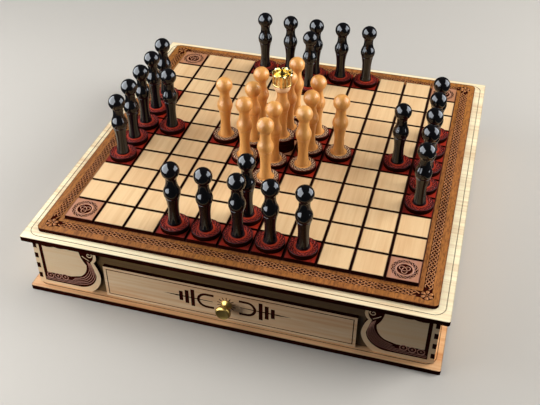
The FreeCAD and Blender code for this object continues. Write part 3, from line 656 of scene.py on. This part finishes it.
def metal_finish(name, shade, roughness):
    """Polished metal with faint tarnish and turning marks."""
    shade = tafl_colour(shade)
    recipe = Recipe(name, roughness, metallic=1.0)
    tarnish = recipe.ramp(recipe.noise((160, 160, 160), detail=4, rough=0.65), 0.5, 0.8)
    recipe.bump(recipe.noise((300, 300, 5000), detail=1), 0.01 * MM, 0.2)
    rough = recipe.math("ADD", recipe.times(tarnish, 0.18), roughness)
    recipe.feed(recipe.shader.inputs["Roughness"], rough)
    return recipe.done(recipe.mix(recipe.times(tarnish, 0.6), shade, dimmed(shade, 0.62)))


# Interlaced patterns

def plait_height(turn):
    """A strand's sway from -1 to 1: a zigzag with rounded peaks. Turn 0 is a peak."""
    sharpness = 0.94  # 1 would be a plain zigzag
    return asin(sharpness * cos(2 * pi * turn)) / asin(sharpness)


def plait_bars(run, period, sway, clear):
    """The visible bars of a flat plait of four strands, from one dip under a strand to the next."""
    strands = 4
    dips = ((-1 / 8, 2 / 8), (2 / 8, 5 / 8), (5 / 8, 7 / 8))
    parts_per_turn = 22
    trim = clear * 0.75 / period
    bars = []
    for strand in range(strands):
        for repeat in range(-1, ceil(run / period) + 1):
            for start, end in dips:
                parts = ceil((end - start) * parts_per_turn)
                sweep = end - start - 2 * trim
                turns = [start + trim + sweep * part / parts for part in range(parts + 1)]
                offset = repeat + strand / strands
                bar = [((turn + offset) * period, sway * plait_height(turn)) for turn in turns]
                if bar[0][0] > 0 and bar[-1][0] < run:
                    bars.append(bar)
    return bars


def ring_bars(middle, sway, turns, clear, parts=8):
    """The visible bars of two strands that twist round a ring."""
    bars = []
    step = 2 * pi / turns
    trim = clear / middle
    for strand, side in enumerate((1, -1)):
        for turn in range(turns):
            start = (turn + 0.25 + strand / 2) * step + trim
            sweep = step - 2 * trim
            angles = [start + sweep * part / parts for part in range(parts + 1)]
            radii = [middle + side * sway * cos(turns * angle) for angle in angles]
            bars.append([(radius * cos(a), radius * sin(a)) for radius, a in zip(radii, angles)])
    return bars


def knot_bars(reach, clear, parts=26):
    """The visible bars of a knot with three loops. Each goes over one crossing, from dip to dip."""
    dip = radians(104.48)  # where the path first goes under itself
    scale = reach / 3  # the path's own farthest point is 3 from its middle
    trim = clear / (scale * 4)
    bars = []
    for loop in range(3):
        start = dip + loop * 2 * pi / 3 + trim
        sweep = 2 * pi / 3 - 2 * trim
        turns = [start + sweep * part / parts for part in range(parts + 1)]
        bars.append(
            [(scale * (sin(t) + 2 * sin(2 * t)), scale * (cos(t) - 2 * cos(2 * t))) for t in turns]
        )
    return bars


def circle_path(radius, parts=48):
    angles = [2 * pi * part / parts for part in range(parts)]
    return [(radius * cos(angle), radius * sin(angle)) for angle in angles]


def petal_paths(reach, count):
    """Leaf shapes that point out from the middle: each point has its share of the width."""
    widths = ((0.24, 0.2), (0.4, 0.55), (0.6, 0.95), (0.76, 1.0), (0.88, 0.72), (0.93, 0.3))
    paths = []
    for petal in range(count):
        angle = 2 * pi * (petal + 0.5) / count
        paths.append([(reach * r * cos(angle), reach * r * sin(angle), share) for r, share in widths])
    return paths


def blend_point(guides, t):
    """The point at share t of the way from the second of four guides to the third."""
    return tuple(
        0.5 * (
            2 * q
            + (r - p) * t
            + (2 * p - 5 * q + 4 * r - s) * t * t
            + (3 * q - p - 3 * r + s) * t ** 3
        )
        for p, q, r, s in zip(*guides)
    )


def through(points, parts=6):
    """A smooth path through points: a cubic curve between each two neighbours."""
    guides = [points[0], *points, points[-1]]
    path = [points[0]]
    for four in zip(guides, guides[1:], guides[2:], guides[3:]):
        path += [blend_point(four, part / parts) for part in range(1, parts + 1)]
    return path


# Board

def carve_plait():
    """The plait fills the sunk band on the four sides, between the corner rosettes."""
    carving = bpy.context.scene.tafl_carving
    middle = FIELD_HALF + carving.band_gap + carving.band_width / 2
    start = -(middle - carving.rosette * 0.97)
    run = -2 * start
    sway = (carving.band_width - carving.strand) / 2 - 0.1 * MM
    repeats = round(run / carving.plait_length * 4) / 4
    period = run / repeats
    clear = carving.strand / 2 + carving.strand_gap
    bars = plait_bars(run + 0.01 * MM, period, sway, clear)
    side = [[(start + along, across - middle) for along, across in bar] for bar in bars]
    paths = []
    for quarter in range(4):
        turn = Matrix.Rotation(quarter * pi / 2, 2)
        paths += [[tuple(turn @ Vector(point)) for point in bar] for bar in side]
    plait = ribbons("border_plait", paths, carving.strand, carving.relief)
    shift(plait, up=BORDER_TOP - carving.relief)
    return plait


def carve_rosettes():
    carving = bpy.context.scene.tafl_carving
    middle = FIELD_HALF + carving.band_gap + carving.band_width / 2
    leaf = carving.rosette * 0.76 * 2 * pi / carving.petals * 0.66
    petals = ribbons("petals", petal_paths(carving.rosette, carving.petals), leaf, carving.relief)
    hub_radius = carving.rosette * 0.13
    hub = turned("hub", [(0, 0), (hub_radius, 0), (hub_radius, carving.relief), (0, carving.relief)], 16)
    rosette = join("rosette", [petals, hub])
    placed = []
    for across in (-middle, middle):
        for along in (-middle, middle):
            copy = copy_of(rosette, "rosette_copy")
            shift(copy, across, along, BORDER_TOP - carving.relief)
            placed.append(copy)
    remove(rosette)
    return join("border_rosettes", placed)


def carve_medallion():
    """A ring of twisted strands round a plain ring and a knot of three loops."""
    carving = bpy.context.scene.tafl_carving
    clear = carving.ring_strand / 2 + carving.strand_gap
    ring_middle = carving.medallion - carving.ring_sway - carving.ring_strand / 2 - 0.1 * MM
    hoop_middle = ring_middle - carving.ring_sway - carving.ring_strand - carving.hoop / 2
    bars = ring_bars(ring_middle, carving.ring_sway, carving.ring_turns, clear)
    return join(
        "medallion",
        [
            ribbons("ring", bars, carving.ring_strand, carving.relief),
            ribbons("hoop", [circle_path(hoop_middle)], carving.hoop, carving.relief, closed=True),
            ribbons("knot", knot_bars(carving.knot, clear), carving.ring_strand * 1.2, carving.relief),
        ],
    )


class TAFL_OT_plates(Operator):
    """Finishes the base plate and the top board"""
    bl_idname = "tafl.plates"
    bl_label = "Plates"

    def execute(self, context):
        half = half_width("top_board")
        paint(plate_finish("pale birch", "birch", "tile_dark", half, BOARD_TOP), "top_board")
        paint(plate_finish("warm birch", "warm_birch", "beech_dark", half, BASE_TOP), "base_plate")
        return {"FINISHED"}


class TAFL_OT_border(Operator):
    """Finishes the stained border and carves its plait and rosettes"""
    bl_idname = "tafl.border"
    bl_label = "Border"

    def execute(self, context):
        paint(border_finish("stained border", "stain", "stain_pink"), "border_panel")
        ridge = border_finish("stained ridges", "stain_pink", "ridge")
        finish(carve_plait(), "board", "stained_border", ridge)
        finish(carve_rosettes(), "board", "stained_border", ridge)
        return {"FINISHED"}


class TAFL_OT_tiles(Operator):
    """Finishes the tiles and carves the medallions of the corners and the throne"""
    bl_idname = "tafl.tiles"
    bl_label = "Tiles"

    def execute(self, context):
        carving = context.scene.tafl_carving
        paint(tile_finish("plain tile", "tile", "tile_dark"), "plain_tiles")
        paint(tile_finish("red tile", "red", "red_dark"), "red_tiles")
        corner = tile_finish("corner tile", "corner", "stain")
        paint(corner, "corner_tiles", "throne_tile")
        medallion = carve_medallion()
        last = FIELD_HALF - TILE_HALF
        for name, across, along in (
            ("front_left_medallion", -last, -last),
            ("front_right_medallion", last, -last),
            ("back_left_medallion", -last, last),
            ("back_right_medallion", last, last),
            ("throne_medallion", 0, 0),
        ):
            copy = copy_of(medallion, name)
            shift(copy, across, along, TILE_TOP - carving.relief)
            finish(copy, "board", "stained_tile", corner)
        remove(medallion)
        return {"FINISHED"}


# Box

# Places on an end panel, in mm back from the prow's edge and up from the base plate
KEEL = ((48.8, 3.4), (36, 3.4), (22, 3.9), (10.6, 6.6), (4.4, 14), (4.0, 21.5), (6.6, 29.8))
RAIL = ((48.8, 12.4), (36, 12.4), (24, 12.4), (15.2, 16.4), (10.8, 23), (9.6, 27.4), (10.4, 33))
EYE = (7.4, 39.2)
JAW = ((13.2, 37.4), (10.6, 35.2), (7.6, 33.4))
BROW = ((13.8, 42.6), (11.6, 43.4), (9.0, 43.8))
MANE_TUFTS = (15.4, 17.6)
SHIELDS = ((44.4, 9.5), (37.9, 10.0), (31.6, 10.4))
CURL_PARTS = 29
CURL_PARTS_PER_HALF_TURN = 11
PLANKS = 6
# The share of each plank line that is left out behind the shields, counted from the keel
PLANK_COVERED = (0.0, 0.0, 0.2, 0.3, 0.35)
PROW_LINE = 0.7 * MM
SHIELD_RISE = 0.05 * MM


def prow_points(side, *places):
    """The places as points in the plane of an end panel, for the left side or the right."""
    return [(side * (PROW_EDGE + back * MM), BASE_TOP + rise * MM) for back, rise in places]


def prow_planks(side):
    """Lines between the planks, evenly spaced from the keel to the rail."""
    keel, rail = through(prow_points(side, *KEEL)), through(prow_points(side, *RAIL))
    lines = []
    for plank, covered in enumerate(PLANK_COVERED, 1):
        share = plank / PLANKS
        line = [tuple(k + (r - k) * share for k, r in zip(*pair)) for pair in zip(keel, rail)]
        lines.append(line[int(covered * len(line)):])
    return lines


def prow_head(side):
    """The curl round the eye, the jaw, the brow and the tufts of the mane."""
    across, up = prow_points(side, EYE)[0]
    curl = []
    for part in range(CURL_PARTS):
        angle = side * (pi * 0.6 - part * pi / CURL_PARTS_PER_HALF_TURN)
        reach = (3.0 - part * 0.085) * MM
        width_share = 1.4 - part * 0.03
        curl.append((across - reach * cos(angle) * side, up + reach * sin(angle) * side, width_share))
    jaw = through(prow_points(side, *JAW), 4)
    brow = through(prow_points(side, *BROW), 4)
    mane = [
        through(prow_points(side, (start, 44.9), (start - 1.1, 43.0), (start - 0.4, 41.2)), 3)
        for start in MANE_TUFTS
    ]
    return [curl, jaw, brow, *mane]


def carve_prow(name, side):
    """A hull with plank lines and shields, and a curled head, on the sunk part of an end panel."""
    carving = bpy.context.scene.tafl_carving
    relief = carving.relief
    head = ribbons(f"{name}_head", prow_head(side), PROW_LINE, relief)
    hull = [ribbons(f"{name}_hull", prow_planks(side), carving.plank, relief)]
    boss_outline = [(0, 0), (0.9 * MM, 0), (0.9 * MM, relief * 0.8), (0.5 * MM, relief), (0, relief)]
    for across, up in prow_points(side, *SHIELDS):
        rim = [(across + x, up + y) for x, y in circle_path(carving.shield - PROW_LINE / 2, 28)]
        boss = turned("boss", boss_outline, 16)
        shift(boss, across, up)
        hull += [ribbons("shield", [rim], PROW_LINE, relief + SHIELD_RISE, closed=True), boss]
    hull = join(f"{name}_hull", hull)
    for carved in (hull, head):
        shift(carved, up=-relief)
        tip_forward(carved)
        shift(carved, along=FRONT_FACE)
    return hull, head


class TAFL_OT_box(Operator):
    """Finishes the walls of the box and carves the two prows"""
    bl_idname = "tafl.box"
    bl_label = "Box"

    def execute(self, context):
        paint(wall_finish("side panel", "panel", "tile_dark", Y, X), "left_side_panel", "right_side_panel")
        paint(wall_finish("back panel", "panel", "tile_dark", X, Y), "back_panel")
        prow = wall_finish("prow panel", "panel", "tile_dark", X, Y, FRONT_FACE)
        paint(prow, "left_prow_panel", "right_prow_panel")
        # The front wall and the drawer guides take the dark inside colour, which is painted shade for the
        # recess around the drawer.
        paint(wall_finish("front wall", "inner", "engraved", X, Y), "front_wall")
        paint(wall_finish("guides", "inner", "engraved", Y, X), "drawer_guides")
        ridge = wall_finish("scorched ridges", "scorched", "engraved", X, Y)
        for name, side in (("left_prow", -1), ("right_prow", 1)):
            hull, head = carve_prow(name, side)
            finish(hull, "board", "panel_ply", ridge)
            finish(head, "board", "panel_ply", prow)
        return {"FINISHED"}


# Drawer

class TAFL_OT_drawer(Operator):
    """Finishes the drawer, its front and its knob"""
    bl_idname = "tafl.drawer"
    bl_label = "Drawer"

    def execute(self, context):
        paint(wall_finish("drawer front", "panel", "beech_dark", X, Y, FRONT_FACE), "drawer_front")
        paint(wall_finish("drawer sides", "panel", "tile_dark", Y, X), "drawer_sides")
        paint(wall_finish("drawer back", "panel", "tile_dark", X, Y), "drawer_back")
        paint(wall_finish("drawer floor", "drawer_inner", "beech_dark", Y, Z), "drawer_bottom")
        paint(metal_finish("knob brass", "knob", 0.36), "drawer_knob")
        paint(metal_finish("screw steel", "steel", 0.3), "knob_screw")
        return {"FINISHED"}


# Men

def peg_outline(parts=7):
    """A peg's outline from the middle of its foot up to the underside of its ball."""
    men = bpy.context.scene.tafl_men
    soft = 0.25 * MM
    crease_low = (men.crease, men.crease_height - men.crease_depth)
    crease_high = (men.crease, men.crease_height + men.crease_depth)
    outline = [(0, 0), (men.foot - soft, 0), (men.foot, soft)]
    outline += arc(outline[-1], (men.waist, men.waist_height), crease_low, parts * 2)
    outline += [(men.crease - men.crease_depth, men.crease_height), crease_high]
    outline += arc(crease_high, (men.shoulder, men.shoulder_height), (men.collar, men.collar_height), parts)
    chin_height = men.ball_height - (men.ball ** 2 - men.chin ** 2) ** 0.5
    outline += arc(outline[-1], (men.neck, men.neck_height), (men.chin, chin_height), parts)
    return outline


def turn_peg():
    men = bpy.context.scene.tafl_men
    outline = peg_outline()
    top = (0, men.ball_height + men.ball)
    outline += arc(outline[-1], (men.ball, men.ball_height), top, 18)
    return turned("peg", outline, 48, 50)


def turn_disc(radius, thickness):
    """A disc with a sunk ring, and the strands that twist round in it."""
    men = bpy.context.scene.tafl_men
    carving = bpy.context.scene.tafl_carving
    soft = 0.15 * MM
    floor = thickness - carving.relief
    disc = turned(
        "disc",
        [
            (0, 0),
            (radius - soft, 0),
            (radius, soft),
            (radius, thickness - soft),
            (radius - soft, thickness),
            (men.disc_ring_outer, thickness),
            (men.disc_ring_outer, floor),
            (men.disc_ring_inner, floor),
            (men.disc_ring_inner, thickness),
            (0, thickness),
        ],
        72,
    )
    clear = carving.disc_strand / 2 + carving.strand_gap
    middle = (men.disc_ring_outer + men.disc_ring_inner) / 2
    bars = ring_bars(middle, carving.disc_sway, carving.disc_turns, clear)
    strands = ribbons("strands", bars, carving.disc_strand, carving.relief)
    shift(strands, up=floor)
    return join("disc", [disc, strands])


def stand_men(names, peg, disc, peg_material, peg_slot, disc_material, disc_slot):
    """Puts a peg and a disc on each man's own square."""
    for name in names:
        low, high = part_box(name)
        across, along = (low[0] + high[0]) / 2, (low[1] + high[1]) / 2
        base = copy_of(disc, f"{name}_disc")
        shift(base, across, along, low[2])
        finish(base, name, disc_slot, disc_material, name)
        figure = copy_of(peg, f"{name}_peg")
        shift(figure, across, along, low[2] + DISC_TOP - TILE_TOP)
        finish(figure, name, peg_slot, peg_material, name)


class TAFL_OT_men(Operator):
    """Turns the pegs and discs of the black and the light men"""
    bl_idname = "tafl.men"
    bl_label = "Men"

    def execute(self, context):
        men = context.scene.tafl_men
        peg = turn_peg()
        disc = turn_disc(men.disc, DISC_TOP - TILE_TOP)
        red_disc = disc_finish("red disc", DISC_TOP, "red_pale", "red_bright", "red_dark")
        cream_disc = disc_finish("cream disc", DISC_TOP, "cream", "beech", "maroon")
        lacquer, beech = lacquer_finish("black lacquer"), beech_finish("honey beech")
        stand_men(ATTACKERS, peg, disc, lacquer, "black_lacquer", red_disc, "red_disc")
        stand_men(DEFENDERS, peg, disc, beech, "honey_beech", cream_disc, "cream_disc")
        remove(peg)
        remove(disc)
        return {"FINISHED"}


# King

def turn_king_peg():
    """The king's peg is the same as the others up to the ball, which is cut off for the crown."""
    men = bpy.context.scene.tafl_men
    outline = peg_outline()
    swell = (men.ball, men.ball_height - 0.8 * MM)
    seat = (men.seat, men.ball_height + men.seat_rise)
    outline += arc(outline[-1], swell, seat, 10)
    outline.append((0, seat[1]))
    return turned("king_figure", outline, 64, 50)


def turn_crown():
    """A thin brass cup with a bead round its foot, notches cut through its rim, and soft edges."""
    men = bpy.context.scene.tafl_men
    wall = men.crown_wall
    top = men.crown_height
    rim = men.crown + men.crown_flare
    halfway = (men.crown_bowl + top) / 2
    swell = men.crown + 0.2 * MM
    bead = men.crown + men.crown_bead_step
    outline = [(0, 0), (bead, 0), (bead, men.crown_bead), (men.crown, men.crown_bead)]
    outline.append((men.crown, men.crown_bowl))
    outline += arc(outline[-1], (swell, halfway), (rim, top), 8)
    outline += [(rim - wall, top)]
    outline += arc(outline[-1], (swell - wall, halfway), (men.crown - wall, men.crown_bowl), 8)
    outline += arc(
        outline[-1],
        (men.crown - 0.7 * MM - wall, men.crown_bowl * 0.45 + wall / 2),
        (men.crown_floor, wall),
        6,
    )
    outline.append((0, wall))
    crown = turned("crown_cup", outline, 96, 40)
    cutters = []
    for point in range(men.crown_points):
        deselect()
        bpy.ops.mesh.primitive_cylinder_add(
            vertices=32,
            radius=men.crown_notch,
            depth=rim,
            location=(0, -rim * 0.75, top + men.crown_notch * 0.35),
            rotation=(pi / 2, 0, 0),
        )
        bpy.ops.object.mode_set(mode="EDIT")
        bpy.ops.transform.rotate(
            value=2 * pi * (point + 0.5) / men.crown_points,
            orient_axis="Z",
            orient_type="GLOBAL",
            center_override=(0, 0, 0),
        )
        bpy.ops.object.mode_set(mode="OBJECT")
        cutters.append(bpy.context.object)
    cutter = join("notches", cutters)
    apply_modifier(crown, "BOOLEAN", operation="DIFFERENCE", object=cutter, solver="EXACT")
    remove(cutter)
    sharp = radians(50)
    apply_modifier(crown, "BEVEL", width=0.18 * MM, segments=2, limit_method="ANGLE", angle_limit=sharp)
    smooth(crown, 40)
    return crown


class TAFL_OT_king(Operator):
    """Turns the king, its disc and its crown, and finishes its plinth"""
    bl_idname = "tafl.king"
    bl_label = "King"

    def execute(self, context):
        men = context.scene.tafl_men
        disc = turn_disc(men.disc, DISC_TOP - TILE_TOP)
        shift(disc, up=level("king_plinth"))
        disc.name = "king_ring_disc"
        cream_disc = disc_finish("king disc", KING_DISC_TOP, "cream", "beech", "maroon")
        finish(disc, "king", "cream_disc", cream_disc, "king_disc")
        figure = turn_king_peg()
        shift(figure, up=KING_DISC_TOP)
        bare_from = KING_DISC_TOP + men.ball_height - 4.5 * MM
        finish(figure, "king", "honey_beech", beech_finish("king beech", bare_from), "king_peg")
        crown = turn_crown()
        shift(crown, up=CROWN_FOOT)
        finish(crown, "king", "brass", metal_finish("crown brass", "brass", 0.14), "king_crown")
        paint(wall_finish("king plinth", "char", "engraved", X, Z), "king_plinth")
        return {"FINISHED"}


# Studio

FLOOR_SIZE = 12
GLINT_COLOUR = (0.88, 0.94, 1.0)


def soft_box(name, power, place, size, glint=False, aim=(0, 0, 0), spread=pi):
    """A lamp that only lights, or a panel that only shows as a glint on what shines."""
    lamp = bpy.data.lights.new(name, "AREA")
    lamp.shape = "RECTANGLE"
    lamp.size, lamp.size_y = size
    lamp.energy = power
    lamp.spread = spread
    if glint:
        lamp.color = GLINT_COLOUR
    holder = bpy.data.objects.new(name, lamp)
    holder.visible_diffuse = not glint
    holder.visible_glossy = glint
    holder.location = place
    holder.rotation_euler = (Vector(place) - Vector(aim)).to_track_quat("Z", "Y").to_euler()
    bpy.context.collection.objects.link(holder)


class TAFL_OT_studio(Operator):
    """Lays the floor, hangs the soft boxes and sets up the camera"""
    bl_idname = "tafl.studio"
    bl_label = "Studio"

    def execute(self, context):
        studio = context.scene.tafl_studio
        deselect()
        bpy.ops.mesh.primitive_plane_add(size=FLOOR_SIZE)
        floor = context.object
        floor.name = "studio_floor"
        recipe = Recipe("studio floor", 0.9)
        floor.data.materials.append(recipe.done(tafl_colour("floor")))
        floor.visible_glossy = False
        floor.visible_diffuse = False
        soft_box("left_soft_box", studio.key_power, (-0.64, -0.14, 0.38), (0.6, 0.6))
        soft_box("right_soft_box", studio.fill_power, (1.12, 0.36, 0.69), (0.9, 0.9))
        soft_box("top_soft_box", studio.top_power, (-0.17, 0.29, 1.2), (1.0, 1.0))
        soft_box(
            "front_soft_box",
            studio.front_power,
            (-0.35, -0.45, 0.12),
            (0.25, 0.25),
            aim=(-BOX_HALF, FRONT_FACE, 0),
            spread=1.4,
        )
        soft_box("left_glint", studio.glint, (-0.58, -0.28, 0.37), (1.4, 0.9), glint=True)
        soft_box("right_glint", studio.glint * 0.55, (0.8, 0.22, 0.41), (1.0, 0.8), glint=True)
        world = bpy.data.worlds.new("studio")
        world.use_nodes = True
        background = world.node_tree.nodes["Background"]
        background.inputs["Color"].default_value = (0.9, 0.93, 1.0, 1)
        background.inputs["Strength"].default_value = studio.ambient
        context.scene.world = world
        context.scene.view_settings.view_transform = "Standard"
        camera = bpy.data.cameras.new("camera")
        camera.lens = studio.lens
        camera.sensor_width = 36
        holder = bpy.data.objects.new("camera", camera)
        turn = Matrix.Rotation(studio.azimuth, 3, "Z")
        tilt = Matrix.Rotation(pi / 2 - studio.elevation, 3, "X")
        roll = Matrix.Rotation(studio.roll, 3, "Z")
        holder.rotation_euler = (turn @ tilt @ roll).to_euler()
        holder.location = studio.place
        bpy.context.collection.objects.link(holder)
        context.scene.camera = holder
        return {"FINISHED"}


class TAFL_PT_panel(Panel):
    bl_label = "Hnefatafl Board"
    bl_idname = "TAFL_PT_panel"
    bl_space_type = "VIEW_3D"
    bl_region_type = "UI"
    bl_category = "Tafl"

    def draw(self, context):
        for step in STEPS:
            self.layout.operator(step.bl_idname)
        for name, group in GROUPS.items():
            box = self.layout.box()
            box.label(text=name.replace("tafl_", "").title())
            for field in group.__annotations__:
                box.prop(getattr(context.scene, name), field)


STEPS = (
    TAFL_OT_plates,
    TAFL_OT_border,
    TAFL_OT_tiles,
    TAFL_OT_box,
    TAFL_OT_drawer,
    TAFL_OT_men,
    TAFL_OT_king,
    TAFL_OT_studio,
)


def register():
    for group in GROUPS.values():
        bpy.utils.register_class(group)
    for step in STEPS:
        bpy.utils.register_class(step)
    bpy.utils.register_class(TAFL_PT_panel)
    for name, group in GROUPS.items():
        setattr(bpy.types.Scene, name, PointerProperty(type=group))


def unregister():
    for name in GROUPS:
        delattr(bpy.types.Scene, name)
    bpy.utils.unregister_class(TAFL_PT_panel)
    for step in reversed(STEPS):
        bpy.utils.unregister_class(step)
    for group in reversed(GROUPS.values()):
        bpy.utils.unregister_class(group)


def main():
    register()
    bpy.ops.tafl.plates()
    bpy.ops.tafl.border()
    bpy.ops.tafl.tiles()
    bpy.ops.tafl.box()
    bpy.ops.tafl.drawer()
    bpy.ops.tafl.men()
    bpy.ops.tafl.king()
    bpy.ops.tafl.studio()


if __name__ == "__main__":
    main()
